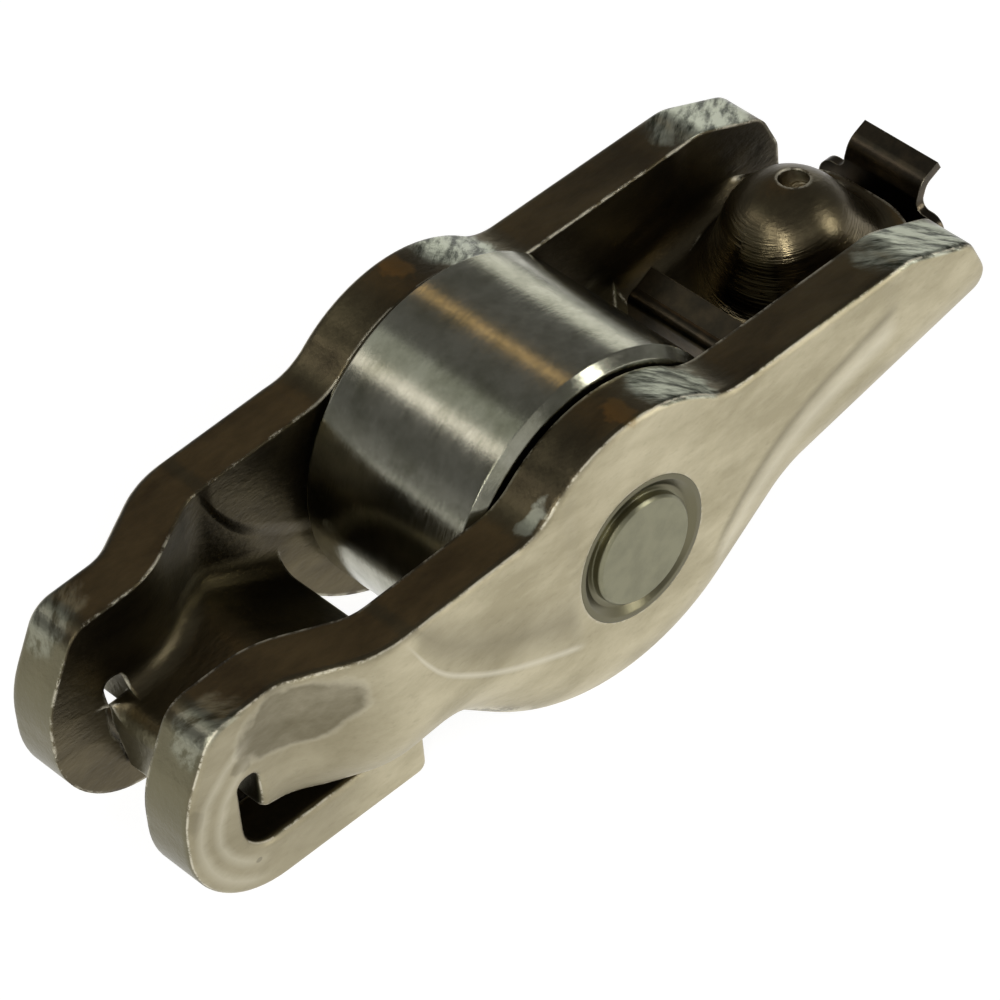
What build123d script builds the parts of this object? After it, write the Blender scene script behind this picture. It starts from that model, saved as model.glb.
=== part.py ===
from build123d import *
from math import asin, atan2, cos, degrees, hypot, pi, radians, sin, tan
import os

# Roller finger follower: a rocker arm stamped from one steel sheet. Millimetres.
# The origin is the middle of the roller axis. X runs from the valve end to the pivot end,
# Y along the roller axis and Z up. The arm is drawn in its own side view, where its top
# edges are level, and that view is turned by rest_tilt, so that the arm lies as it rests.

# Roller, needles and axle pin
roller_diameter = 18.0
roller_width = 11.0
roller_edge_chamfer = 0.5
roller_bore_chamfer = 0.4
pin_share = 0.4167
needle_share = 0.0972
needle_count = 16
needle_length = 9.8
needle_end_radius = 0.4
needle_play = 0.02
side_clearance = 0.2
stake_spread = 0.28
stake_depth = 0.7
pin_face_margin = 0.75
pin_face_proud = 0.25
pin_groove_depth = 0.3
pin_face_chamfer = 0.15

# Sheet, and the arm's width from above
sheet_thickness = 2.95
bend_outer_radius = 4.0
bend_inner_radius = 1.2
edge_radius = 0.4
guide_gap = 6.6
joggle_start = -20.6
joggle_end = -16.2
joggle_radius = 3.0

# Side view, top edge of the walls from the valve end to the pivot end
nose_x = -26.8
nose_bend_height = 0.7
nose_blend_radius = 6.0
shoulder = (-24.7, 4.75)
shoulder_radius = 1.8
waist = (-8.0, 5.35)
hump_radius = 8.2
hump_blend_radius = 3.5
rail_height = 5.65
rail_end = 19.0
rail_end_radius = 3.0
tip = (23.3, 3.85)
tip_radius = 1.6
arm_end = 24.3
arm_end_height = 1.6
arm_end_radius = 1.5

# Side view, lower edge of the walls from the pivot end to the valve end
web_slope = 10.6
web_start = (11.1, -4.2)
web_start_radius = 4.0
belly_apex = (-1.25, -12.95)
belly_radius = 12.3
flank_end = (-11.4, -4.2)
valve_skirt = -5.4
flank_end_radius = 3.0
wedge_start_x = -15.2
wedge_tip = (-22.3, -1.95)

# Guide fingers, bent edgewise round the nose and back below the walls
bight_width = 1.2
bight_top = 0.5
bight_top_radius = 0.5
bight_floor_radius = 1.8
finger_height = 2.85
finger_end = -12.4
finger_end_radius = 0.6
nose_radius = 5.4
nose_middle = -1.75

# Valve pad and its web
pad_front = -23.4
pad_top = -0.8
pad_front_radius = 1.2
web_crest = (-16.3, -0.1)
web_crest_radius = 4.0
valve_window_edge = (-10.6, -3.0)
pad_contact = (-19.9, -5.9)
pad_radius = 9.0
pad_side_gap = 0.15
pad_chin = -2.0
pad_toe = (-22.65, -6.2)
pad_back = -14.0

# Pivot web and ball socket
pivot_window_edge = 12.4
web_end = 24.8
web_end_corner_radius = 4.5
socket_centre = 19.5
socket_height = 5.25
socket_top_radius = 2.32
socket_shoulder_fullness = 0.98
socket_base_radius = 4.7
socket_flare_radius = 1.4
socket_wall = 1.5
socket_crown = 1.8
seat_fullness = 0.88
oil_hole_diameter = 1.6
oil_hole_shift = 1.1

# Retaining clip
clip_thickness = 0.5
clip_half_width = 4.1
clip_bend_radius = 0.4
clip_play = 0.15
clip_hole_diameter = 7.0
clip_corner_radius = 0.9
clip_tongue_half_width = 2.5
clip_tongue_root_radius = 0.5
clip_shoulder_height = 0.8
clip_tab_top = 0.45
clip_lip = (13.7, 1.05)
clip_foot = 25.6
clip_waist = (26.05, 1.4)
clip_brow = (26.35, 2.2)
clip_brow_radius = 1.0
clip_flare = (27.5, 2.7)

# Sizes that follow from the ones above
roller_radius = roller_diameter / 2
pin_radius = pin_share * roller_radius
needle_diameter = needle_share * roller_diameter
stake_radius = pin_radius + stake_spread
pin_face_radius = pin_radius - pin_face_margin
inner_half = roller_width / 2 + side_clearance
outer_half = inner_half + sheet_thickness
guide_half = guide_gap / 2
valve_outer_half = guide_half + sheet_thickness
finger_bottom = nose_middle - nose_radius
finger_top = finger_bottom + finger_height
bight_left = wedge_tip[0] - bight_width
seam = 0.1
beyond = 2 * (arm_end - nose_x)
web_rise = tan(radians(web_slope))
web_height = sheet_thickness / cos(radians(web_slope))


def web_under(x):
    """Height of the pivot web's underside at x."""
    return web_start[1] + (x - web_start[0]) * web_rise


def web_top(x):
    """Height of the pivot web's upper side at x."""
    return web_under(x) + web_height


# The belly's arc is a round between two straight flanks that would meet at belly_apex.
flank_right = atan2(web_start[1] - belly_apex[1], web_start[0] - belly_apex[0])
flank_left = atan2(flank_end[1] - belly_apex[1], flank_end[0] - belly_apex[0])
belly_half_angle = (flank_left - flank_right) / 2
belly_lean = (flank_left + flank_right) / 2
belly_x = belly_apex[0] + belly_radius / sin(belly_half_angle) * cos(belly_lean)
belly_z = belly_apex[1] + belly_radius / sin(belly_half_angle) * sin(belly_lean)

# The arm lies on its belly and on the round front corner of its fingers. One line touches
# both arcs from below, and the side view turns until that line is level.
nose_to_belly = (belly_x - nose_x - nose_radius, belly_z - nose_middle)
rest_tilt = -degrees(
    atan2(nose_to_belly[1], nose_to_belly[0])
    + asin((nose_radius - belly_radius) / hypot(nose_to_belly[0], nose_to_belly[1]))
)

# Sizes of the fitting pieces and the places they take
joggle_angle = atan2(outer_half - valve_outer_half, joggle_end - joggle_start)
nose_lean = atan2(shoulder[0] - nose_x, shoulder[1] - nose_bend_height)
finger_joint = nose_bend_height - nose_blend_radius * tan(nose_lean / 2) - seam
pad_half = guide_half - pad_side_gap
bend_half = inner_half - bend_inner_radius
bore_radius = pin_radius + needle_diameter + 2 * needle_play
pitch_radius = pin_radius + needle_play + needle_diameter / 2
socket_slope = socket_height / (socket_base_radius - socket_top_radius)
shoulder_ease = tan(atan2(socket_slope, 1) / 2)
socket_shoulder_radius = socket_shoulder_fullness * socket_top_radius / shoulder_ease
seat_base_radius = socket_base_radius - socket_wall * hypot(1, socket_slope) / socket_slope
seat_height = socket_height - socket_crown
seat_top = seat_base_radius - seat_height / socket_slope
seat_top_radius = seat_fullness * seat_top / shoulder_ease
seat_mouth = seat_base_radius + (sheet_thickness + seam) / socket_slope
clip_drop = clip_thickness / 2 / cos(radians(web_slope))
tab_x = pivot_window_edge - clip_play - clip_thickness / 2

tilt = radians(rest_tilt)
side = Plane(origin=(0, 0, 0), x_dir=(cos(tilt), 0, sin(tilt)), z_dir=(0, -1, 0))
plan = Plane(origin=(0, 0, 0), x_dir=(cos(tilt), 0, sin(tilt)), z_dir=(-sin(tilt), 0, cos(tilt)))

socket_seat = side.from_local_coords((socket_centre, web_top(socket_centre), 0))
socket_lean = radians(rest_tilt + web_slope)
socket = Plane(
    origin=socket_seat,
    x_dir=(cos(socket_lean), 0, sin(socket_lean)),
    z_dir=(0, -1, 0),
)
end_view = Plane(
    origin=side.from_local_coords((web_end, 0, 0)),
    x_dir=(0, 1, 0),
    z_dir=(cos(tilt), 0, sin(tilt)),
)
socket_axis = Axis(socket_seat, (-sin(socket_lean), 0, cos(socket_lean)))


def in_arm(shape):
    """Centre of a shape in the arm's own side view: X along, Y up, Z to the near side."""
    return side.to_local_coords(shape.center())


def is_rail(edge):
    """True for the straight upper edges on the outer sides of the walls."""
    spot = in_arm(edge)
    return abs(spot.Z) > outer_half - seam and abs(spot.Y - rail_height) < seam / 2


def is_outer_bend(edge):
    """True for the long lower edges on the outer sides of the walls, where the sheet bends."""
    spot = in_arm(edge)
    upright = abs((edge @ 0 - edge @ 1).dot(plan.z_dir)) >= 0.9 * edge.length
    return (
        abs(spot.Z) > valve_outer_half - seam / 10
        and nose_x + seam / 10 < spot.X < arm_end - seam / 10
        and spot.Y < min(web_under(spot.X) + seam / 10, flank_end[1] + bend_outer_radius - 1)
        and (not upright or spot.Y < flank_end[1])
    )


def band_outline(valve_half, roller_half, shift, start_radius, end_radius):
    """Outline from above, narrow at the valve end and joggled out to the roller's width."""
    upper = [
        (-beyond, valve_half),
        (joggle_start + shift, valve_half),
        (joggle_end + shift, roller_half),
        (beyond, roller_half),
    ]
    lower = [(x, -y) for x, y in reversed(upper)]
    radii = [0, start_radius, end_radius, 0]
    FilletPolyline(*upper, *lower, radius=radii + radii[::-1], close=True)


# Solid outer form of the stamping: side view times plan view, with the outer bends
with BuildPart() as outer_form:
    with BuildSketch(side) as wall_view:
        with BuildLine():
            FilletPolyline(
                (nose_x, valve_skirt),
                (nose_x, nose_bend_height),
                shoulder,
                waist,
                (0, waist[1]),
                (0, rail_height),
                (rail_end, rail_height),
                tip,
                (arm_end, arm_end_height),
                (arm_end, web_under(arm_end)),
                web_start,
                belly_apex,
                flank_end,
                radius=[
                    0,
                    nose_blend_radius,
                    shoulder_radius,
                    0,
                    0,
                    0,
                    rail_end_radius,
                    tip_radius,
                    arm_end_radius,
                    0,
                    web_start_radius,
                    belly_radius,
                    flank_end_radius,
                ],
                close=True,
            )
        make_face()
        Circle(hump_radius)
        hump_ends = wall_view.vertices().filter_by(
            lambda v: abs(hypot(v.X, v.Y) - hump_radius) < 0.01 and v.Y > 0
        )
        fillet(hump_ends, hump_blend_radius)
    extrude(amount=2 * outer_half, both=True)
    with BuildSketch(plan):
        with BuildLine():
            band_outline(
                valve_outer_half, outer_half, 0, joggle_radius, joggle_radius + sheet_thickness
            )
        make_face()
    extrude(amount=beyond, both=True, mode=Mode.INTERSECT)
    bend_edges = outer_form.edges().filter_by(is_outer_bend)
    fillet(bend_edges, bend_outer_radius)

# Space between the walls: open at the top and the front, floored by the two webs
with BuildPart() as channel:
    with BuildSketch(side):
        with BuildLine():
            FilletPolyline(
                (-beyond, beyond),
                (-beyond, -beyond),
                (pad_front, -beyond),
                (pad_front, pad_top),
                web_crest,
                valve_window_edge,
                (valve_window_edge[0], -beyond),
                (pivot_window_edge, -beyond),
                (pivot_window_edge, web_top(pivot_window_edge)),
                (beyond, web_top(beyond)),
                (beyond, beyond),
                radius=[0, 0, 0, pad_front_radius, web_crest_radius, 0, 0, 0, 0, 0, 0],
                close=True,
            )
        make_face()
    extrude(amount=2 * outer_half, both=True)
    with BuildSketch(plan):
        with BuildLine():
            band_outline(
                guide_half,
                inner_half,
                sheet_thickness * tan(joggle_angle / 2),
                joggle_radius + sheet_thickness,
                joggle_radius,
            )
        make_face()
    extrude(amount=beyond, both=True, mode=Mode.INTERSECT)
    valve_bends = channel.edges().filter_by(
        lambda e: abs(in_arm(e).Z) > guide_half - 0.3
        and pad_front < in_arm(e).X < valve_window_edge[0] - seam
        and valve_window_edge[1] < in_arm(e).Y < web_crest[1] + seam
    )
    fillet(valve_bends, bend_inner_radius)
    pivot_bends = channel.edges().filter_by(
        lambda e: abs(abs(in_arm(e).Z) - inner_half) < 0.01
        and in_arm(e).X > pivot_window_edge
        and abs(in_arm(e).Y - web_top(in_arm(e).X)) < seam
    )
    fillet(pivot_bends, bend_inner_radius)

# Slit between each wall and its guide finger, wider towards the roller
with BuildPart() as slits:
    with BuildSketch(side):
        with BuildLine():
            FilletPolyline(
                (wedge_start_x, -beyond),
                (wedge_start_x, flank_end[1]),
                wedge_tip,
                (wedge_tip[0], bight_top),
                (bight_left, bight_top),
                (bight_left, finger_joint - seam),
                (-beyond, finger_joint - seam),
                (-beyond, -beyond),
                radius=[0, 0, 0, bight_top_radius, bight_top_radius, 0, 0, 0],
                close=True,
            )
        make_face()
    extrude(amount=2 * outer_half, both=True)

# Guide fingers in the plane of the narrow walls, and the space for the valve stem
with BuildPart() as fingers:
    with BuildSketch(side) as finger_view:
        with BuildLine():
            FilletPolyline(
                (nose_x, finger_joint),
                (nose_x, finger_bottom),
                (finger_end, finger_bottom),
                (finger_end, finger_top),
                (bight_left, finger_top),
                (bight_left, finger_joint),
                radius=[
                    0,
                    nose_radius,
                    finger_end_radius,
                    finger_end_radius,
                    bight_floor_radius,
                    0,
                ],
                close=True,
            )
        make_face()
    extrude(amount=valve_outer_half, both=True)

with BuildPart() as guide_space:
    extrude(finger_view.sketch, amount=guide_half, both=True)

# Walls and fingers as one form. The tumbled round runs on from the rails along every edge that
# follows them smoothly: over the hump and the joggle, round the nose and under the fingers.
with BuildPart() as shell:
    add(outer_form.part)
    add(slits.part, mode=Mode.SUBTRACT)
    add(fingers.part)
    fillet(shell.edges().filter_by(is_rail), edge_radius)
    add(guide_space.part, mode=Mode.SUBTRACT)

# Valve pad, coined down between the fingers to a round underside
with BuildPart() as pad:
    with BuildSketch(side):
        with BuildLine():
            Polyline(
                (pad_front, pad_top),
                (pad_front, pad_chin),
                pad_toe,
                (pad_back, pad_toe[1]),
                (pad_back, web_crest[1]),
                web_crest,
                close=True,
            )
        make_face()
        with Locations((pad_contact[0], pad_contact[1] + pad_radius)):
            Circle(pad_radius, mode=Mode.INTERSECT)
    extrude(amount=pad_half, both=True)

# Pressed-up socket, drawn in its own half section: across, and up from the web's top side
with BuildPart() as dome:
    with BuildSketch(socket):
        with BuildLine():
            FilletPolyline(
                (0, socket_height),
                (socket_top_radius, socket_height),
                (socket_base_radius, 0),
                (socket_base_radius + socket_flare_radius, 0),
                (socket_base_radius + socket_flare_radius, -seam),
                (0, -seam),
                radius=[0, socket_shoulder_radius, socket_flare_radius, 0, 0, 0],
                close=True,
            )
        make_face()
    revolve(axis=socket_axis)
    with BuildSketch(plan):
        Rectangle(2 * web_end, 2 * inner_half)
    extrude(amount=beyond, both=True, mode=Mode.INTERSECT)

with BuildPart() as arm_body:
    add(shell.part)
    add(pad.part)
    add(channel.part, mode=Mode.SUBTRACT)
    with BuildSketch(side):
        with BuildLine():
            Polyline(
                (pad_front, pad_chin),
                pad_toe,
                (pad_toe[0], 2 * pad_toe[1]),
                (pad_front, 2 * pad_toe[1]),
                close=True,
            )
        make_face()
    extrude(amount=pad_half + pad_side_gap / 2, both=True, mode=Mode.SUBTRACT)
    with BuildSketch(side):
        with BuildLine():
            Polyline(
                (pivot_window_edge, web_under(pivot_window_edge)),
                (web_end, web_under(web_end)),
                (web_end, web_top(web_end)),
                (pivot_window_edge, web_top(pivot_window_edge)),
                close=True,
            )
        make_face()
    extrude(amount=bend_half, both=True)
    add(dome.part)
    with BuildSketch(plan):
        with Locations((web_end, 0)):
            Rectangle(2 * web_end_corner_radius, 2 * inner_half)
        Rectangle(2 * web_end, 2 * inner_half, mode=Mode.SUBTRACT)
        with Locations(
            (web_end - web_end_corner_radius / 2, inner_half - web_end_corner_radius / 2),
            (web_end - web_end_corner_radius / 2, web_end_corner_radius / 2 - inner_half),
        ):
            Rectangle(web_end_corner_radius, web_end_corner_radius)
        with Locations(
            (web_end - web_end_corner_radius, inner_half - web_end_corner_radius),
            (web_end - web_end_corner_radius, web_end_corner_radius - inner_half),
        ):
            Circle(web_end_corner_radius, mode=Mode.SUBTRACT)
    extrude(amount=beyond, both=True, mode=Mode.SUBTRACT)
    with BuildSketch(socket):
        with BuildLine():
            FilletPolyline(
                (0, seat_height),
                (seat_top, seat_height),
                (seat_mouth, -sheet_thickness - seam),
                (0, -sheet_thickness - seam),
                radius=[0, seat_top_radius, 0, 0],
                close=True,
            )
        make_face()
    revolve(axis=socket_axis, mode=Mode.SUBTRACT)
    with BuildSketch(Plane(socket_seat, x_dir=socket.x_dir, z_dir=socket_axis.direction)):
        with Locations((oil_hole_shift, 0)):
            Circle(oil_hole_diameter / 2)
    extrude(amount=2 * socket_height, mode=Mode.SUBTRACT)
    with BuildSketch(Plane.XY):
        with BuildLine():
            Polyline(
                (0, -beyond),
                (stake_radius, -beyond),
                (stake_radius, -outer_half),
                (pin_radius, -outer_half + stake_depth),
                (pin_radius, outer_half - stake_depth),
                (stake_radius, outer_half),
                (stake_radius, beyond),
                (0, beyond),
                close=True,
            )
        make_face()
    revolve(axis=Axis.Y, mode=Mode.SUBTRACT)
arm_body.part.label = "arm_body"

# Axle pin, staked in the countersunk holes of both walls
with BuildPart() as axle_pin:
    with BuildSketch(Plane.XY):
        with BuildLine():
            Polyline(
                (0, 0),
                (pin_radius, 0),
                (pin_radius, outer_half - stake_depth),
                (stake_radius, outer_half),
                (stake_radius - pin_groove_depth, outer_half),
                (pin_face_radius + pin_groove_depth, outer_half - pin_groove_depth),
                (pin_face_radius, outer_half - pin_groove_depth),
                (pin_face_radius, outer_half + pin_face_proud - pin_face_chamfer),
                (pin_face_radius - pin_face_chamfer, outer_half + pin_face_proud),
                (0, outer_half + pin_face_proud),
                close=True,
            )
        make_face()
        mirror(about=Plane.XZ)
    revolve(axis=Axis.Y)
axle_pin.part.label = "axle_pin"

# Cam roller
with BuildPart() as roller_ring:
    with BuildSketch(Plane.XY):
        with Locations(((roller_radius + bore_radius) / 2, 0)):
            Rectangle(roller_radius - bore_radius, roller_width)
        chamfer(vertices().sort_by(Axis.X)[-2:], roller_edge_chamfer)
        chamfer(vertices().sort_by(Axis.X)[:2], roller_bore_chamfer)
    revolve(axis=Axis.Y)
roller_ring.part.label = "roller_ring"

# Full complement of needles between the pin and the roller
needles = []
for index in range(needle_count):
    angle = 2 * pi * index / needle_count
    spot = Plane(
        origin=(pitch_radius * cos(angle), 0, pitch_radius * sin(angle)),
        x_dir=(1, 0, 0),
        z_dir=(0, 1, 0),
    )
    with BuildPart(spot) as needle:
        Cylinder(needle_diameter / 2, needle_length)
        fillet(needle.edges().filter_by(GeomType.CIRCLE), needle_end_radius)
    needle.part.label = f"needle_{index + 1:02d}"
    needles.append(needle.part)

# Retaining clip: one strip hooked over both ends of the pivot web, holed for the ball
with BuildPart() as retaining_clip:
    with BuildSketch(side):
        with BuildLine() as strip_path:
            FilletPolyline(
                clip_lip,
                (tab_x + clip_thickness, clip_tab_top),
                (tab_x, clip_tab_top),
                (tab_x, web_under(tab_x) - clip_drop),
                (clip_foot, web_under(clip_foot) - clip_drop),
                clip_waist,
                clip_brow,
                clip_flare,
                radius=[0, *4 * [clip_bend_radius], clip_brow_radius],
            )
        trace(line_width=clip_thickness)
    extrude(amount=clip_half_width, both=True)
    with BuildSketch(end_view):
        Rectangle(beyond, beyond)
        with BuildLine():
            FilletPolyline(
                (clip_half_width, -beyond),
                (clip_half_width, clip_shoulder_height),
                (clip_tongue_half_width, clip_shoulder_height),
                (clip_tongue_half_width, beyond),
                (-clip_tongue_half_width, beyond),
                (-clip_tongue_half_width, clip_shoulder_height),
                (-clip_half_width, clip_shoulder_height),
                (-clip_half_width, -beyond),
                radius=[
                    0,
                    clip_corner_radius,
                    clip_tongue_root_radius,
                    0,
                    0,
                    clip_tongue_root_radius,
                    clip_corner_radius,
                    0,
                ],
                close=True,
            )
        make_face(mode=Mode.SUBTRACT)
    extrude(amount=beyond, mode=Mode.SUBTRACT)
    with BuildSketch(Plane(socket_seat, x_dir=socket.x_dir, z_dir=socket_axis.direction)):
        Circle(clip_hole_diameter / 2)
    extrude(amount=-beyond, mode=Mode.SUBTRACT)
retaining_clip.part.label = "retaining_clip"

os.makedirs("parts", exist_ok=True)
export_step(arm_body.part, "parts/arm_body.step")
export_step(axle_pin.part, "parts/axle_pin.step")
export_step(roller_ring.part, "parts/roller_ring.step")
export_step(retaining_clip.part, "parts/retaining_clip.step")
for part in needles:
    export_step(part, f"parts/{part.label}.step")

print("rest tilt", round(rest_tilt, 2), "belly centre", round(belly_x, 2), round(belly_z, 2))
for built in (arm_body, axle_pin, roller_ring, retaining_clip):
    print(built.part.label, len(built.part.solids()), round(built.part.volume, 1))
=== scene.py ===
import math
import bpy
from mathutils import Matrix, Vector


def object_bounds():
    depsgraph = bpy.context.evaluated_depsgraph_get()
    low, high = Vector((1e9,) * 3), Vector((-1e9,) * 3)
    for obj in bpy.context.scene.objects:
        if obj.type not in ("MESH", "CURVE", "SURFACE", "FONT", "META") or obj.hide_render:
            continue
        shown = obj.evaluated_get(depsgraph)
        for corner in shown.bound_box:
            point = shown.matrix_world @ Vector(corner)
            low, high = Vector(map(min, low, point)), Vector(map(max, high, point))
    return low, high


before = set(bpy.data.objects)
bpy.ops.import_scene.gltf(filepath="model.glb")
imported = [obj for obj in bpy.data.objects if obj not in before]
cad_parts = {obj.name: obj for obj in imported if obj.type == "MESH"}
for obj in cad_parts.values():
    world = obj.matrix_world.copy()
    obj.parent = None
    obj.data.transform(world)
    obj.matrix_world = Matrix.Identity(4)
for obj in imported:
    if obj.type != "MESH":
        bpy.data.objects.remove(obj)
cadBox = [list(corner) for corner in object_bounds()]

mm = 0.001
restTilt = math.radians(6.96)  # the arm's own level line leans back by this as it rests on the floor
armAlong = (math.cos(restTilt), 0.0, math.sin(restTilt))
armUp = (-math.sin(restTilt), 0.0, math.cos(restTilt))


# sRGB hex to linear light
def hexColour(code):
    channels = [int(code[k:k + 2], 16) / 255 for k in (1, 3, 5)]
    return [c / 12.92 if c <= 0.04045 else ((c + 0.055) / 1.055) ** 2.4 for c in channels] + [1.0]


# adds one node, sets its own settings by name and its sockets by name or number
def addNode(tree, kind, sockets=None, **settings):
    node = tree.nodes.new(kind)
    for name, value in settings.items():
        setattr(node, name, value)
    for key, value in (sockets or {}).items():
        if isinstance(value, bpy.types.NodeSocket):
            tree.links.new(value, node.inputs[key])
        else:
            node.inputs[key].default_value = value
    return node


def newMaterial(name):
    material = bpy.data.materials.new(name)
    material.use_nodes = True
    tree = material.node_tree
    tree.nodes.clear()
    return material, tree


# the arm's own millimetres, from the object's coordinates: x toward the socket, z up
def armPlace(tree):
    spot = addNode(tree, "ShaderNodeTexCoord").outputs["Object"]
    millimetres = addNode(tree, "ShaderNodeVectorMath", {0: spot, "Scale": 1 / mm},
                          operation="SCALE").outputs[0]
    along = addNode(tree, "ShaderNodeVectorMath", {0: millimetres, 1: armAlong},
                    operation="DOT_PRODUCT").outputs["Value"]
    height = addNode(tree, "ShaderNodeVectorMath", {0: millimetres, 1: armUp},
                     operation="DOT_PRODUCT").outputs["Value"]
    across = addNode(tree, "ShaderNodeSeparateXYZ", {0: millimetres}).outputs["Y"]
    whole = addNode(tree, "ShaderNodeCombineXYZ", {"X": along, "Y": across, "Z": height}).outputs[0]
    return {"all": whole, "x": along, "y": across, "z": height}


# 1 inside a ragged patch round a point, 0 outside
def patchMask(tree, place, centre, radii, ragged=0.35, grain=0.9, soft=0.4):
    away = addNode(tree, "ShaderNodeVectorMath", {0: place, 1: centre}, operation="SUBTRACT").outputs[0]
    scaled = addNode(tree, "ShaderNodeVectorMath", {0: away, 1: radii}, operation="DIVIDE").outputs[0]
    distance = addNode(tree, "ShaderNodeVectorMath", {0: scaled}, operation="LENGTH").outputs["Value"]
    rough = addNode(tree, "ShaderNodeTexNoise",
                    {"Vector": place, "Scale": grain, "Detail": 4.0}).outputs["Fac"]
    frayed = addNode(tree, "ShaderNodeMath", {0: rough, 1: ragged * 2, 2: distance},
                     operation="MULTIPLY_ADD").outputs[0]
    low = 0.72 + ragged
    return addNode(tree, "ShaderNodeMapRange", {"Value": frayed, "From Min": low, "From Max": low + soft,
                   "To Min": 1.0, "To Max": 0.0}, interpolation_type="SMOOTHSTEP").outputs[0]


def mixColour(tree, factor, first, second, blend="MIX"):
    return addNode(tree, "ShaderNodeMix", {0: factor, 6: first, 7: second}, data_type="RGBA",
                   blend_type=blend).outputs[2]


# how far a spot lies above a drawn line on the arm's side, in millimetres, and 1 between its ends
def aboveLine(tree, place, points):
    first, last = points[0][0], points[-1][0]
    low = min(z for x, z in points)
    high = max(z for x, z in points)
    share = addNode(tree, "ShaderNodeMapRange",
                    {"Value": place["x"], "From Min": first, "From Max": last}).outputs[0]
    curve = addNode(tree, "ShaderNodeFloatCurve", {"Value": share})
    line = curve.mapping.curves[0]
    line.points[0].location = (0.0, (points[0][1] - low) / (high - low))
    line.points[-1].location = (1.0, (points[-1][1] - low) / (high - low))
    for x, z in points[1:-1]:
        line.points.new((x - first) / (last - first), (z - low) / (high - low))
    curve.mapping.update()
    height = addNode(tree, "ShaderNodeMapRange",
                     {"Value": curve.outputs[0], "To Min": low, "To Max": high}).outputs[0]
    above = addNode(tree, "ShaderNodeMath", {0: place["z"], 1: height}, operation="SUBTRACT").outputs[0]
    fromEnd = addNode(tree, "ShaderNodeMath", {0: share, 1: 0.5}, operation="SUBTRACT").outputs[0]
    fromEnd = addNode(tree, "ShaderNodeMath", {0: fromEnd}, operation="ABSOLUTE").outputs[0]
    within = addNode(tree, "ShaderNodeMapRange", {"Value": fromEnd, "From Min": 0.5, "From Max": 0.4},
                     interpolation_type="SMOOTHSTEP").outputs[0]
    return above, within


# arm body
# Stamped carburised steel, tumbled on the outside: pale taupe satin skin with creases where the sheet was
# pressed, with painted shade and painted highlight beside them and painted shade toward the nose,
# olive-brown oxide on the cut edges and inside, drawn lighter on faces that look forward as painted light,
# streaked silver facets where the press coined the edge, and a bright scratched burr where the punch went
# through, partly a painted highlight along the edges.
armFinish = {
    # the dark skin tone also serves as painted shade, and the pale wear tone also as painted highlight
    "skin": "#A79E82", "skinPale": "#C5BCA0", "skinDarkAndShade": "#6F6853", "oxide": "#665D47",
    "oxideDark": "#4A4334",
    # the nose tone is painted light, for faces that look forward
    "nose": "#726E58", "coined": "#C2C6B4", "coinedDark": "#4A4F43", "straw": "#8F7142", "wearAndHighlight": "#DAD4C0",
    "dome": "#8E8164",
    "mottle": 2.6,        # mm, cloud size of the tumbled skin
    "grain": 0.22,        # mm, scale speckle, drawn twice as coarse as it is so that it shows
    "drawLine": 0.16,     # mm between drawing lines round the dome, about three times the real ones
    "edgeRadius": 0.28,   # mm, tumbled rounding of the edges that the press left sharp
    "waveDepth": 0.3, "foldDepth": 0.12, "fineDepth": 0.06,  # mm of relief: sheet, creases, specks
    "lineDepth": 4.0,     # the dome's lines, times as deep as the specks
    "burrStrength": 0.85, "burrRoughness": 0.6,
    "wallInside": (4.9, 5.3),  # mm from the middle plane, where the wall's skin begins
    "noseFade": (-14.0, -19.0, 0.42),  # mm along, where the skin darkens toward the nose as painted shade, and how far
    "streakTurn": 35.0, "streakSize": (2.6, 0.55, 0.9),  # degrees, and mm each way
    "skinRoughness": 0.46, "oxideRoughness": 0.36, "coinedRoughness": 0.3, "domeRoughness": 0.15,
    # patches: middle and reach in mm, in the arm's own x, y and z, then strength
    "shoulderPatch": ((-20.2, 7.4, 2.8), (3.9, 4.0, 2.4)), "shoulderStrength": (0.95, 0.6),
    "coinedPatches": (((4.2, 7.3, 7.4), (2.9, 2.6, 2.2), 0.9), ((20.6, 7.3, 5.4), (3.4, 2.6, 2.4), 0.9),
                      ((-24.7, 6.0, 4.4), (2.2, 2.4, 1.9), 0.38)),
    "scuff": ((-5.5, -7.9, 5.1), (1.7, 0.55, 1.4), 0.6),
    "strawPatch": ((0.1, 7.6, 8.0), (0.7, 1.1, 0.8), 0.5),
    "domePatch": ((18.9, 0.0, 1.0), (5.4, 4.6, 3.9)),
    "creases": {  # points of the line, then bands of painted shade and painted highlight beside it: offset, half width, colour, strength
        "webBend": (((-15.0, 5.0), (-14.6, 4.3), (-13.6, 2.45), (-12.7, 1.24), (-11.4, 0.17), (-9.45, -1.1),
                     (-6.7, -2.4), (-3.8, -3.5)),
                    ((1.9, 2.4, "skinDarkAndShade", 0.5), (-0.05, 0.28, "wearAndHighlight", 0.7))),
        "tailRidge": (((4.2, -4.6), (6.0, -2.6), (8.0, -0.8), (11.0, 1.0), (14.5, 2.2), (18.2, 3.2)),
                      ((0.35, 0.5, "skinDarkAndShade", 0.5), (-0.8, 1.0, "wearAndHighlight", 0.55))),
    },
    "smudges": (((-23.2, 1.6), (0.7, 0.5), 0.5), ((-26.2, 0.2), (0.5, 0.9), 0.35),
                ((-23.0, -4.9), (0.24, 0.15), 0.8)),
    # mm, the socket's middle, and its dome's way
    "seat": (19.5, 0.0, 0.37), "seatAxis": (-0.184, 0.0, 0.983),
    "noseMiddle": (-21.4, -1.75), "bendLines": (4.7, 3.6),  # mm, round the middle of the nose
}


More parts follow.
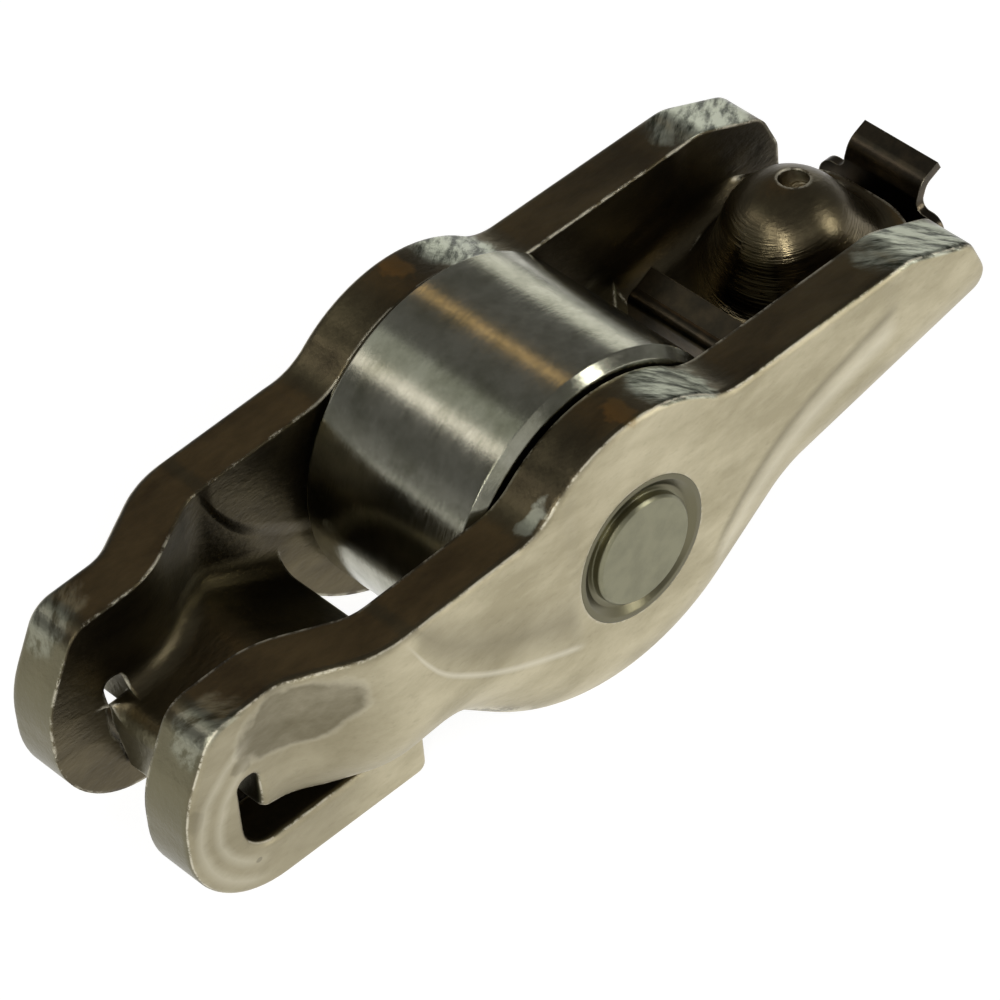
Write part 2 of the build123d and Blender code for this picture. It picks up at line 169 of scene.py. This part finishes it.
def makeArmSteel(finish):
    material, tree = newMaterial("stampedTumbledSteel")
    place = armPlace(tree)
    facing = addNode(tree, "ShaderNodeTexCoord").outputs["Normal"]
    facingUp = addNode(tree, "ShaderNodeVectorMath", {0: facing, 1: armUp},
                       operation="DOT_PRODUCT").outputs["Value"]
    facingAlong = addNode(tree, "ShaderNodeVectorMath", {0: facing, 1: armAlong},
                          operation="DOT_PRODUCT").outputs["Value"]
    mirrored = addNode(tree, "ShaderNodeVectorMath", {0: place["all"]}, operation="ABSOLUTE").outputs[0]
    acrossOnly = addNode(tree, "ShaderNodeSeparateXYZ", {0: mirrored}).outputs["Y"]
    folded = addNode(tree, "ShaderNodeCombineXYZ",
                     {"X": place["x"], "Y": acrossOnly, "Z": place["z"]}).outputs[0]
    onWall = addNode(tree, "ShaderNodeMapRange",
                     {"Value": acrossOnly, "From Min": finish["wallInside"][0],
                      "From Max": finish["wallInside"][1]}).outputs[0]
    facingSide = addNode(tree, "ShaderNodeSeparateXYZ", {0: facing}).outputs["Y"]
    side = addNode(tree, "ShaderNodeMath", {0: place["y"]}, operation="SIGN").outputs[0]
    outward = addNode(tree, "ShaderNodeMath", {0: facingSide, 1: side}, operation="MULTIPLY").outputs[0]
    outward = addNode(tree, "ShaderNodeMath", {0: outward, 1: onWall}, operation="MULTIPLY").outputs[0]
    downward = addNode(tree, "ShaderNodeMath", {0: facingUp, 1: -1.0}, operation="MULTIPLY").outputs[0]
    outer = addNode(tree, "ShaderNodeMath", {0: outward, 1: downward}, operation="MAXIMUM").outputs[0]
    drawn = addNode(tree, "ShaderNodeVectorMath", {0: place["all"], 1: (0.45, 1.0, 1.0)},
                    operation="MULTIPLY").outputs[0]
    cloud = addNode(tree, "ShaderNodeTexNoise", {"Vector": drawn, "Scale": 1 / finish["mottle"],
                    "Detail": 6.0, "Roughness": 0.62}).outputs["Fac"]
    speckle = addNode(tree, "ShaderNodeTexNoise", {"Vector": drawn, "Scale": 1 / finish["grain"],
                      "Detail": 3.0, "Roughness": 0.6}).outputs["Fac"]
    cloudShift = addNode(tree, "ShaderNodeMath", {0: cloud, 1: 0.3, 2: -0.15},
                         operation="MULTIPLY_ADD").outputs[0]
    outerRagged = addNode(tree, "ShaderNodeMath", {0: outer, 1: cloudShift}, operation="ADD").outputs[0]
    skinMask = addNode(tree, "ShaderNodeMapRange",
                       {"Value": outerRagged, "From Min": 0.45, "From Max": 0.8},
                       interpolation_type="SMOOTHSTEP").outputs[0]
    # skin: clouded and finely specked, darker on the shoulder over the guide slot
    cloudy = addNode(tree, "ShaderNodeMapRange",
                     {"Value": cloud, "From Min": 0.38, "From Max": 0.66}).outputs[0]
    skinTone = mixColour(tree, cloudy, hexColour(finish["skin"]), hexColour(finish["skinPale"]))
    # painted shade: the skin is drawn darker toward the nose
    shadeTowardNose = addNode(tree, "ShaderNodeMapRange",
                         {"Value": place["x"], "From Min": finish["noseFade"][0],
                         "From Max": finish["noseFade"][1], "To Max": finish["noseFade"][2]},
                         interpolation_type="SMOOTHSTEP").outputs[0]
    skinTone = mixColour(tree, shadeTowardNose, skinTone, hexColour(finish["skinDarkAndShade"]))
    shoulderCentre, shoulderReach = finish["shoulderPatch"]
    outlineReach = [reach * 1.07 for reach in shoulderReach]
    outline = patchMask(tree, folded, shoulderCentre, outlineReach, ragged=0.3, grain=0.5, soft=0.16)
    shoulder = patchMask(tree, folded, shoulderCentre, shoulderReach, ragged=0.3, grain=0.5, soft=0.16)
    outlinePart = addNode(tree, "ShaderNodeMath", {0: outline, 1: 0.3}, operation="MULTIPLY").outputs[0]
    skinTone = mixColour(tree, outlinePart, skinTone, hexColour(finish["wearAndHighlight"]))
    mottled = addNode(tree, "ShaderNodeMapRange", {"Value": cloud, "From Min": 0.4, "From Max": 0.62,
                      "To Min": finish["shoulderStrength"][0],
                      "To Max": finish["shoulderStrength"][1]}).outputs[0]
    shoulderPart = addNode(tree, "ShaderNodeMath", {0: shoulder, 1: mottled},
                           operation="MULTIPLY").outputs[0]
    skinTone = mixColour(tree, shoulderPart, skinTone, hexColour(finish["skinDarkAndShade"]))
    pits = addNode(tree, "ShaderNodeMapRange", {"Value": speckle, "From Min": 0.58, "From Max": 0.74,
                   "To Max": 0.14}).outputs[0]
    skinTone = mixColour(tree, pits, skinTone, hexColour(finish["oxide"]))

    # creases: bands of painted shade and painted highlight beside a line, where the face turns, and a step
    # in the surface
    step = None
    for points, litAndShadedBands in finish["creases"].values():
        above, within = aboveLine(tree, place, points)
        rise = addNode(tree, "ShaderNodeMapRange", {"Value": above, "From Min": -0.5, "From Max": 0.5},
                       interpolation_type="SMOOTHSTEP").outputs[0]
        rise = addNode(tree, "ShaderNodeMath", {0: rise, 1: within}, operation="MULTIPLY").outputs[0]
        step = rise if step is None else addNode(tree, "ShaderNodeMath", {0: step, 1: rise}).outputs[0]
        # each band paints shade or a highlight beside the crease, as if light fell on the turned face
        for middle, width, hexCode, strength in litAndShadedBands:
            fromLine = addNode(tree, "ShaderNodeMath", {0: above, 1: middle},
                               operation="SUBTRACT").outputs[0]
            fromLine = addNode(tree, "ShaderNodeMath", {0: fromLine}, operation="ABSOLUTE").outputs[0]
            band = addNode(tree, "ShaderNodeMapRange",
                           {"Value": fromLine, "From Min": 0.0, "From Max": width,
                           "To Min": strength, "To Max": 0.0}).outputs[0]
            band = addNode(tree, "ShaderNodeMath", {0: band, 1: within}, operation="MULTIPLY").outputs[0]
            skinTone = mixColour(tree, band, skinTone, hexColour(finish[hexCode]))
    for (x, z), (long, tall), strength in finish["smudges"]:
        smudge = patchMask(tree, folded, (x, 7.4, z), (long, 4.0, tall), ragged=0.6, grain=1.6)
        smudgePart = addNode(tree, "ShaderNodeMath", {0: smudge, 1: strength},
                             operation="MULTIPLY").outputs[0]
        skinTone = mixColour(tree, smudgePart, skinTone, hexColour(finish["skinDarkAndShade"]))

    # pale lines round the nose, painted highlights along the ridges where the sheet was bent edgewise
    noseMiddle = (finish["noseMiddle"][0], 0.0, finish["noseMiddle"][1])
    flat = addNode(tree, "ShaderNodeVectorMath", {0: place["all"], 1: (1.0, 0.0, 1.0)},
                   operation="MULTIPLY").outputs[0]
    fromNose = addNode(tree, "ShaderNodeVectorMath", {0: flat, 1: noseMiddle},
                       operation="DISTANCE").outputs["Value"]
    wander = addNode(tree, "ShaderNodeMath", {0: cloud, 1: 0.8, 2: -0.4},
                     operation="MULTIPLY_ADD").outputs[0]
    fromNose = addNode(tree, "ShaderNodeMath", {0: fromNose, 1: wander}, operation="ADD").outputs[0]
    ahead = addNode(tree, "ShaderNodeMapRange",
                    {"Value": place["x"], "From Min": finish["noseMiddle"][0] - 0.5,
                    "From Max": finish["noseMiddle"][0] - 2.5}, interpolation_type="SMOOTHSTEP").outputs[0]
    for radius in finish["bendLines"]:
        offLine = addNode(tree, "ShaderNodeMath", {0: fromNose, 1: radius}, operation="SUBTRACT").outputs[0]
        offLine = addNode(tree, "ShaderNodeMath", {0: offLine}, operation="ABSOLUTE").outputs[0]
        line = addNode(tree, "ShaderNodeMapRange", {"Value": offLine, "From Max": 0.45, "To Min": 0.35,
                       "To Max": 0.0}).outputs[0]
        line = addNode(tree, "ShaderNodeMath", {0: line, 1: ahead}, operation="MULTIPLY").outputs[0]
        skinTone = mixColour(tree, line, skinTone, hexColour(finish["wearAndHighlight"]))

    oxideCloud = addNode(tree, "ShaderNodeMapRange",
                         {"Value": cloud, "From Min": 0.35, "From Max": 0.65}).outputs[0]
    oxideTone = mixColour(tree, oxideCloud, hexColour(finish["oxideDark"]), hexColour(finish["oxide"]))
    # painted light: oxide on faces that look forward is drawn lighter, as if lit
    litForward = addNode(tree, "ShaderNodeMapRange",
                      {"Value": facingAlong, "From Min": -0.6, "From Max": -0.95},
                      interpolation_type="SMOOTHSTEP").outputs[0]
    litForwardPart = addNode(tree, "ShaderNodeMath", {0: litForward, 1: 0.8}, operation="MULTIPLY").outputs[0]
    oxideTone = mixColour(tree, litForwardPart, oxideTone, hexColour(finish["nose"]))
    tone = mixColour(tree, skinMask, oxideTone, skinTone)
    roughness = addNode(tree, "ShaderNodeMapRange", {"Value": skinMask, "To Min": finish["oxideRoughness"],
                        "To Max": finish["skinRoughness"]}).outputs[0]

    # coined facets on the upper edges: silver and dark streaks drawn across the sheet
    smeared = addNode(tree, "ShaderNodeMapping",
                      {"Vector": folded, "Rotation": (0.0, 0.0, math.radians(finish["streakTurn"])),
                      "Scale": finish["streakSize"]}, vector_type="TEXTURE").outputs[0]
    streak = addNode(tree, "ShaderNodeTexNoise", {"Vector": smeared, "Scale": 1.0, "Detail": 4.0,
                     "Roughness": 0.62}).outputs["Fac"]
    streaky = addNode(tree, "ShaderNodeMapRange",
                      {"Value": streak, "From Min": 0.4, "From Max": 0.57}).outputs[0]
    coinedTone = mixColour(tree, streaky, hexColour(finish["coinedDark"]), hexColour(finish["coined"]))
    bright = None
    for centre, radii, strength in finish["coinedPatches"]:
        patch = patchMask(tree, folded, centre, radii, ragged=0.6, grain=0.6)
        patch = addNode(tree, "ShaderNodeMath", {0: patch, 1: strength}, operation="MULTIPLY").outputs[0]
        bright = patch if bright is None else addNode(tree, "ShaderNodeMath", {0: bright, 1: patch},
                                                      operation="MAXIMUM").outputs[0]
    upward = addNode(tree, "ShaderNodeMapRange", {"Value": facingUp, "From Min": 0.2, "From Max": 0.6},
                     interpolation_type="SMOOTHSTEP").outputs[0]
    bright = addNode(tree, "ShaderNodeMath", {0: bright, 1: upward}, operation="MULTIPLY").outputs[0]
    tone = mixColour(tree, bright, tone, coinedTone)
    middle, reach, strength = finish["scuff"]
    scuff = patchMask(tree, place["all"], middle, reach, ragged=0.8, grain=1.3)
    scuff = addNode(tree, "ShaderNodeMath", {0: scuff, 1: upward}, operation="MULTIPLY").outputs[0]
    scuff = addNode(tree, "ShaderNodeMath", {0: scuff, 1: strength}, operation="MULTIPLY").outputs[0]
    tone = mixColour(tree, scuff, tone, hexColour(finish["coined"]))
    roughness = addNode(tree, "ShaderNodeMix",
                        {0: bright, 2: roughness, 3: finish["coinedRoughness"]}).outputs[0]
    middle, reach, strength = finish["strawPatch"]
    straw = patchMask(tree, folded, middle, reach, ragged=0.8, grain=1.2)
    strawPart = addNode(tree, "ShaderNodeMath", {0: straw, 1: strength}, operation="MULTIPLY").outputs[0]
    tone = mixColour(tree, strawPart, tone, hexColour(finish["straw"]))

    # the drawn socket dome is glossy, with fine lines round it that stretch each highlight downward
    domePatch = patchMask(tree, place["all"], *finish["domePatch"], ragged=0.05)
    tone = mixColour(tree, domePatch, tone, hexColour(finish["dome"]))
    roughness = addNode(tree, "ShaderNodeMix",
                        {0: domePatch, 2: roughness, 3: finish["domeRoughness"]}).outputs[0]
    fromSeat = addNode(tree, "ShaderNodeVectorMath", {0: place["all"], 1: finish["seat"]},
                       operation="SUBTRACT").outputs[0]
    fromSeatParts = addNode(tree, "ShaderNodeSeparateXYZ", {0: fromSeat})
    bearing = addNode(tree, "ShaderNodeMath",
                      {0: fromSeatParts.outputs["Y"], 1: fromSeatParts.outputs["X"]},
                      operation="ARCTAN2").outputs[0]
    around = addNode(tree, "ShaderNodeMath", {0: bearing, 1: 1.2}, operation="MULTIPLY").outputs[0]
    upAxis = addNode(tree, "ShaderNodeVectorMath", {0: fromSeat, 1: finish["seatAxis"]},
                     operation="DOT_PRODUCT").outputs["Value"]
    offAxis = addNode(tree, "ShaderNodeVectorMath", {0: fromSeat, 1: finish["seatAxis"]},
                      operation="CROSS_PRODUCT").outputs[0]
    offAxis = addNode(tree, "ShaderNodeVectorMath", {0: offAxis}, operation="LENGTH").outputs["Value"]
    downDome = addNode(tree, "ShaderNodeMath", {0: offAxis, 1: upAxis}, operation="SUBTRACT").outputs[0]
    downDome = addNode(tree, "ShaderNodeMath", {0: downDome, 1: 1 / finish["drawLine"]},
                       operation="MULTIPLY").outputs[0]
    dome = addNode(tree, "ShaderNodeCombineXYZ", {"X": around, "Y": downDome}).outputs[0]
    drawLines = addNode(tree, "ShaderNodeTexNoise", {"Vector": dome, "Scale": 1.0, "Detail": 3.0},
                        noise_dimensions="2D").outputs["Fac"]

    # burr and rubbed edges, real wear drawn paler than it is as a painted highlight: the rounded rim of the
    # skin, and every edge that the press left sharp
    rim = addNode(tree, "ShaderNodeMath", {0: 1.0, 1: skinMask}, operation="SUBTRACT").outputs[0]
    rim = addNode(tree, "ShaderNodeMath", {0: rim, 1: skinMask}, operation="MULTIPLY").outputs[0]
    rim = addNode(tree, "ShaderNodeMath", {0: rim, 1: 4.0}, operation="MULTIPLY").outputs[0]
    softNormal = addNode(tree, "ShaderNodeBevel", {"Radius": finish["edgeRadius"] * mm},
                         samples=6).outputs[0]
    flatNormal = addNode(tree, "ShaderNodeNewGeometry").outputs["Normal"]
    alike = addNode(tree, "ShaderNodeVectorMath", {0: softNormal, 1: flatNormal},
                    operation="DOT_PRODUCT").outputs["Value"]
    edge = addNode(tree, "ShaderNodeMapRange",
                   {"Value": alike, "From Min": 0.995, "From Max": 0.9}).outputs[0]
    edge = addNode(tree, "ShaderNodeMath", {0: edge, 1: rim}, operation="MAXIMUM").outputs[0]
    scratch = addNode(tree, "ShaderNodeTexNoise", {"Vector": place["all"], "Scale": 0.5, "Detail": 8.0,
                      "Roughness": 0.8}).outputs["Fac"]
    broken = addNode(tree, "ShaderNodeMapRange", {"Value": scratch, "From Min": 0.46, "From Max": 0.54},
                     interpolation_type="SMOOTHSTEP").outputs[0]
    wornAndLit = addNode(tree, "ShaderNodeMath", {0: edge, 1: broken}, operation="MULTIPLY").outputs[0]
    wornAndLitPart = addNode(tree, "ShaderNodeMath", {0: wornAndLit, 1: finish["burrStrength"]},
                       operation="MULTIPLY").outputs[0]
    tone = mixColour(tree, wornAndLitPart, tone, hexColour(finish["wearAndHighlight"]))
    roughness = addNode(tree, "ShaderNodeMix",
                        {0: wornAndLitPart, 2: roughness, 3: finish["burrRoughness"]}).outputs[0]

    ripple = addNode(tree, "ShaderNodeMix", {0: bright, 2: cloud, 3: streak}).outputs[0]
    ripple = addNode(tree, "ShaderNodeMix", {0: domePatch, 2: ripple, 3: 0.5}).outputs[0]
    wave = addNode(tree, "ShaderNodeBump",
                   {"Height": ripple, "Strength": 0.3, "Distance": finish["waveDepth"] * mm,
                   "Normal": softNormal}).outputs[0]
    folds = addNode(tree, "ShaderNodeBump",
                    {"Height": step, "Strength": 0.9, "Distance": finish["foldDepth"] * mm,
                    "Normal": wave}).outputs[0]
    deepLines = addNode(tree, "ShaderNodeMath", {0: drawLines, 1: finish["lineDepth"]},
                        operation="MULTIPLY").outputs[0]
    relief = addNode(tree, "ShaderNodeMix", {0: domePatch, 2: speckle, 3: deepLines}).outputs[0]
    fine = addNode(tree, "ShaderNodeBump",
                   {"Height": relief, "Strength": 0.3, "Distance": finish["fineDepth"] * mm,
                   "Normal": folds}).outputs[0]
    shader = addNode(tree, "ShaderNodeBsdfPrincipled",
                     {"Base Color": tone, "Metallic": 1.0, "Roughness": roughness,
                     "Normal": fine}).outputs[0]
    addNode(tree, "ShaderNodeOutputMaterial", {"Surface": shader})
    return material


# cam roller
# Through-hardened bearing steel, centreless ground: dark clear mirror with fine lines round it, so a
# lamp shows as a band along the roller with a slightly ragged edge.
rollerFinish = {
    "steel": "#A9A898", "smear": "#73735F", "roughness": 0.16,
    "edgeRadius": 0.12,   # mm
    "lineSpacing": 0.12,  # mm between grinding lines, drawn coarser than the real 0.02 so that they show
    "chatter": 0.9,       # mm, length of the short marks that fray the edge of a reflection
}


def makeRollerSteel(finish, name):
    material, tree = newMaterial(name)
    place = armPlace(tree)
    lines = addNode(tree, "ShaderNodeTexNoise",
                    {"W": place["y"], "Scale": 1 / finish["lineSpacing"], "Detail": 4.0},
                    noise_dimensions="1D").outputs["Fac"]
    stretched = addNode(tree, "ShaderNodeVectorMath", {0: place["all"], 1: (1.0, 4.0, 1.0)},
                        operation="MULTIPLY").outputs[0]
    chatter = addNode(tree, "ShaderNodeTexNoise", {"Vector": stretched, "Scale": 1 / finish["chatter"],
                      "Detail": 4.0, "Roughness": 0.7}).outputs["Fac"]
    cloud = addNode(tree, "ShaderNodeTexNoise", {"Vector": place["all"], "Scale": 0.45, "Detail": 6.0,
                    "Roughness": 0.65}).outputs["Fac"]
    smear = addNode(tree, "ShaderNodeMapRange",
                    {"Value": cloud, "From Min": 0.4, "From Max": 0.7, "To Max": 0.7}).outputs[0]
    tone = mixColour(tree, smear, hexColour(finish["steel"]), hexColour(finish["smear"]))
    roughness = addNode(tree, "ShaderNodeMapRange", {"Value": chatter, "From Min": 0.3, "From Max": 0.7,
                        "To Min": finish["roughness"] - 0.03,
                                                     "To Max": finish["roughness"] + 0.06}).outputs[0]
    softNormal = addNode(tree, "ShaderNodeBevel", {"Radius": finish["edgeRadius"] * mm},
                         samples=4).outputs[0]
    frayed = addNode(tree, "ShaderNodeBump", {"Height": chatter, "Strength": 0.16, "Distance": 0.00006,
                     "Normal": softNormal}).outputs[0]
    ground = addNode(tree, "ShaderNodeBump", {"Height": lines, "Strength": 0.12, "Distance": 0.00002,
                     "Normal": frayed}).outputs[0]
    shader = addNode(tree, "ShaderNodeBsdfPrincipled",
                     {"Base Color": tone, "Metallic": 1.0, "Roughness": roughness,
                     "Normal": ground}).outputs[0]
    addNode(tree, "ShaderNodeOutputMaterial", {"Surface": shader})
    return material


# axle pin
# Ground steel with the ends staked over: smooth grey-green faces inside a darker upset ring.
pinFinish = {"face": "#85836C", "dark": "#6A6855", "ring": "#6B6752", "faceRadius": 3.05,
             "edgeRadius": 0.12, "roughness": 0.34}


def makePinSteel(finish):
    material, tree = newMaterial("stakedPinSteel")
    place = armPlace(tree)
    cloud = addNode(tree, "ShaderNodeTexNoise", {"Vector": place["all"], "Scale": 0.8, "Detail": 5.0,
                    "Roughness": 0.6}).outputs["Fac"]
    speck = addNode(tree, "ShaderNodeTexNoise",
                    {"Vector": place["all"], "Scale": 5.0, "Detail": 2.0}).outputs["Fac"]
    smear = addNode(tree, "ShaderNodeMapRange",
                    {"Value": cloud, "From Min": 0.4, "From Max": 0.75, "To Max": 0.6}).outputs[0]
    tone = mixColour(tree, smear, hexColour(finish["face"]), hexColour(finish["dark"]))
    flat = addNode(tree, "ShaderNodeVectorMath", {0: place["all"], 1: (1.0, 0.0, 1.0)},
                   operation="MULTIPLY").outputs[0]
    fromMiddle = addNode(tree, "ShaderNodeVectorMath", {0: flat}, operation="LENGTH").outputs["Value"]
    ring = addNode(tree, "ShaderNodeMapRange",
                   {"Value": fromMiddle, "From Min": finish["faceRadius"] - 0.15,
                   "From Max": finish["faceRadius"] + 0.15}, interpolation_type="SMOOTHSTEP").outputs[0]
    tone = mixColour(tree, ring, tone, hexColour(finish["ring"]))
    softNormal = addNode(tree, "ShaderNodeBevel", {"Radius": finish["edgeRadius"] * mm},
                         samples=4).outputs[0]
    dimpled = addNode(tree, "ShaderNodeBump", {"Height": speck, "Strength": 0.08, "Distance": 0.00005,
                      "Normal": softNormal}).outputs[0]
    shader = addNode(tree, "ShaderNodeBsdfPrincipled", {"Base Color": tone, "Metallic": 1.0,
                     "Roughness": finish["roughness"], "Normal": dimpled}).outputs[0]
    addNode(tree, "ShaderNodeOutputMaterial", {"Surface": shader})
    return material


# retaining clip
# Spring steel blued black: dark satin with bare bright edges where it was sheared.
clipFinish = {"black": "#3D382F", "brown": "#4F4638", "bare": "#9C9684", "edgeRadius": 0.1,
              "roughness": 0.28}


def makeClipSteel(finish):
    material, tree = newMaterial("bluedSpringSteel")
    place = armPlace(tree)
    cloud = addNode(tree, "ShaderNodeTexNoise", {"Vector": place["all"], "Scale": 0.9, "Detail": 5.0,
                    "Roughness": 0.6}).outputs["Fac"]
    patchy = addNode(tree, "ShaderNodeMapRange",
                     {"Value": cloud, "From Min": 0.4, "From Max": 0.65}).outputs[0]
    tone = mixColour(tree, patchy, hexColour(finish["black"]), hexColour(finish["brown"]))
    softNormal = addNode(tree, "ShaderNodeBevel", {"Radius": finish["edgeRadius"] * mm},
                         samples=4).outputs[0]
    flatNormal = addNode(tree, "ShaderNodeNewGeometry").outputs["Normal"]
    alike = addNode(tree, "ShaderNodeVectorMath", {0: softNormal, 1: flatNormal},
                    operation="DOT_PRODUCT").outputs["Value"]
    edge = addNode(tree, "ShaderNodeMapRange", {"Value": alike, "From Min": 0.99, "From Max": 0.88,
                   "To Max": 0.7}).outputs[0]
    tone = mixColour(tree, edge, tone, hexColour(finish["bare"]))
    uneven = addNode(tree, "ShaderNodeBump", {"Height": cloud, "Strength": 0.15, "Distance": 0.0001,
                     "Normal": softNormal}).outputs[0]
    shader = addNode(tree, "ShaderNodeBsdfPrincipled", {"Base Color": tone, "Metallic": 1.0,
                     "Roughness": finish["roughness"], "Normal": uneven}).outputs[0]
    addNode(tree, "ShaderNodeOutputMaterial", {"Surface": shader})
    return material


def dress(node, material):
    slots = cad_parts[node].data.materials
    slots.clear()
    slots.append(material)


dress("arm_body", makeArmSteel(armFinish))
rollerSteel = makeRollerSteel(rollerFinish, "groundBearingSteel")
dress("roller_ring", rollerSteel)
for node in sorted(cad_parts):
    if node.startswith("needle_"):
        dress(node, rollerSteel)
dress("axle_pin", makePinSteel(pinFinish))
dress("retaining_clip", makeClipSteel(clipFinish))
print("steel finishes done")

# floor: white paper; the camera and the metal see it lit from behind, and it keeps the shadow
floorPaper = {"size": 3.0, "lit": 0.9, "colour": "#8C8C8C"}
floorMesh = bpy.data.meshes.new("paperFloor")
half = floorPaper["size"] / 2
floorMesh.from_pydata([(-half, -half, 0), (half, -half, 0), (half, half, 0), (-half, half, 0)], [],
                      [(0, 1, 2, 3)])
floor = bpy.data.objects.new("paperFloor", floorMesh)
floor.location = (0, 0, cadBox[0][2])
bpy.context.scene.collection.objects.link(floor)
paper, paperTree = newMaterial("whitePaper")
lightPath = addNode(paperTree, "ShaderNodeLightPath")
seen = addNode(paperTree, "ShaderNodeMath",
               {0: lightPath.outputs["Is Camera Ray"], 1: lightPath.outputs["Is Glossy Ray"]},
               operation="MAXIMUM").outputs[0]
seen = addNode(paperTree, "ShaderNodeMath", {0: seen, 1: lightPath.outputs["Is Transmission Ray"]},
               operation="MAXIMUM").outputs[0]
glow = addNode(paperTree, "ShaderNodeMath", {0: seen, 1: floorPaper["lit"]},
               operation="MULTIPLY").outputs[0]
glowing = addNode(paperTree, "ShaderNodeEmission", {"Color": (1, 1, 1, 1), "Strength": glow}).outputs[0]
matte = addNode(paperTree, "ShaderNodeBsdfDiffuse", {"Color": hexColour(floorPaper["colour"])}).outputs[0]
both = addNode(paperTree, "ShaderNodeAddShader", {0: glowing, 1: matte}).outputs[0]
addNode(paperTree, "ShaderNodeOutputMaterial", {"Surface": both})
floorMesh.materials.append(paper)

# light: a dim room, four panels that the roller shows, two tall windows, a card and a fill
room = {"level": 0.16, "horizon": 0.3, "fade": (0.12, 0.3)}
world = bpy.data.worlds.new("studioRoom")
bpy.context.scene.world = world
world.use_nodes = True
worldTree = world.node_tree
worldTree.nodes.clear()
direction = addNode(worldTree, "ShaderNodeTexCoord").outputs["Generated"]
rise = addNode(worldTree, "ShaderNodeSeparateXYZ", {0: direction}).outputs["Z"]
level = addNode(worldTree, "ShaderNodeMapRange",
                {"Value": rise, "From Min": room["fade"][0], "From Max": room["fade"][1],
                "To Min": room["horizon"], "To Max": room["level"]},
                interpolation_type="SMOOTHSTEP").outputs[0]
seenDirect = addNode(worldTree, "ShaderNodeLightPath").outputs["Is Camera Ray"]
level = addNode(worldTree, "ShaderNodeMath", {0: level, 1: seenDirect}, operation="MAXIMUM").outputs[0]
sky = addNode(worldTree, "ShaderNodeBackground", {"Color": (1, 1, 1, 1), "Strength": level}).outputs[0]
addNode(worldTree, "ShaderNodeOutputWorld", {"Surface": sky})

# The roller shows what stands behind the part: each of these lamps is placed by the way its band
# leaves the roller, in degrees from the socket end over the top, with its narrow side across the band.
behind = math.sin(math.radians(33.4))  # how far back every reflection off the roller leans
lamps = {
    "softboxRight": {"over": 17, "distance": 0.6, "size": (0.34, 0.17), "brightness": 1.0,
                     "tint": (0.99, 1.0, 0.94)},
    "stripLeft": {"over": 131, "distance": 0.6, "size": (0.34, 0.08), "brightness": 1.7,
                  "tint": (1.0, 0.95, 0.92)},
    "glowLeft": {"over": 117, "distance": 0.7, "size": (0.4, 0.2), "brightness": 0.4,
                 "tint": (0.95, 1.0, 0.92)},
    "amberStrip": {"over": 71, "distance": 0.7, "size": (0.34, 0.05), "brightness": 1.15,
                   "tint": (1.0, 0.63, 0.24)},
    "windowFront": {"toward": (-0.68, -0.57, 0.46), "distance": 0.8, "size": (0.07, 0.5),
                    "brightness": 21.0,
                    "tint": (1.0, 0.99, 0.95)},
    "windowSide": {"toward": (0.56, -0.72, 0.40), "distance": 0.8, "size": (0.07, 0.5), "brightness": 16.0,
                   "tint": (1.0, 0.99, 0.95)},
    "cardLeft": {"toward": (-0.76, -0.10, 0.64), "distance": 0.8, "size": (0.2, 0.3), "brightness": 4.0,
                 "tint": (1.0, 0.98, 0.93)},
    "frontFill": {"toward": (-0.35, -0.80, 0.50), "distance": 0.9, "size": (0.6, 0.5), "brightness": 0.5,
                  "tint": (1.0, 1.0, 1.0)},
}
for name, lamp in lamps.items():
    light = bpy.data.lights.new(name, "AREA")
    light.shape = "RECTANGLE"
    light.size, light.size_y = lamp["size"]
    light.color = lamp["tint"]
    # watts that keep a panel's brightness whatever its size
    light.energy = lamp["brightness"] * math.pi * light.size * light.size_y
    carrier = bpy.data.objects.new(name, light)
    if "over" in lamp:
        over = math.radians(lamp["over"])
        flat = math.sqrt(1 - behind ** 2)
        toward = Vector((flat * math.cos(over), behind, flat * math.sin(over)))
        narrow = Vector((-math.sin(over), 0.0, math.cos(over)))
        turn = Matrix((narrow.cross(toward), narrow, toward)).transposed()
        carrier.matrix_world = Matrix.Translation(toward * lamp["distance"]) @ turn.to_4x4()
    else:
        toward = Vector(lamp["toward"]).normalized()
        carrier.location = toward * lamp["distance"]
        carrier.rotation_euler = toward.to_track_quat("Z", "Y").to_euler()
    bpy.context.scene.collection.objects.link(carrier)

# camera, as the photograph was taken: a long lens from above the valve end
photoCamera = {"place": (-140.218, -140.42, 159.946), "right": (0.720591, -0.693108, 0.018711),
               "down": (-0.428374, -0.466254, -0.774018), "lens": 190.144, "sensor": 36.0,
               "clip": (0.01, 10.0)}
cameraData = bpy.data.cameras.new("photoCamera")
cameraData.lens = photoCamera["lens"]
cameraData.sensor_width = photoCamera["sensor"]
cameraData.clip_start, cameraData.clip_end = photoCamera["clip"]
camera = bpy.data.objects.new("photoCamera", cameraData)
rightWay = Vector(photoCamera["right"]).normalized()
upWay = -Vector(photoCamera["down"])
upWay = (upWay - rightWay * upWay.dot(rightWay)).normalized()
backWay = rightWay.cross(upWay)
turn = Matrix((rightWay, upWay, backWay)).transposed()
camera.matrix_world = Matrix.Translation(Vector(photoCamera["place"]) * mm) @ turn.to_4x4()
bpy.context.scene.collection.objects.link(camera)
bpy.context.scene.camera = camera
bpy.context.scene.view_settings.view_transform = "Standard"
print("floor, lamps and camera done")
